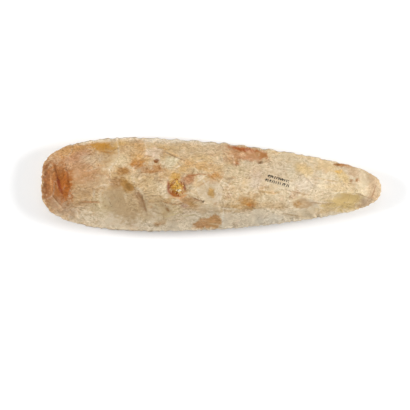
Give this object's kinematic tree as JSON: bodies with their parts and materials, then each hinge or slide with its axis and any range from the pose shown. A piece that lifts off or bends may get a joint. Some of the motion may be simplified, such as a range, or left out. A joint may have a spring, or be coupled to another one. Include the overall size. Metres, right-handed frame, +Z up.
{
  "type": "stone hand axe",
  "caption": "Long knapped flint hand axe with a broad rounded working end, a sinuous edge all round and a narrow butt, lying on its flatter face.",
  "frame": {"origin": "middle of the stone's box, on the surface that it lies on", "axes": "+X along the stone towards the narrow butt, -X to the broad working end, +Z up from the face it lies on to the crest"},
  "size_m": [0.2852, 0.079, 0.0375],
  "materials": {
    "flint": "knapped flint with a cream to honey patina, rust stains, a soft gloss and a row of dark ink marks"
  },
  "bodies": {
    "root": {"knapped_stone": "flint"}
  },
  "joints": []
}
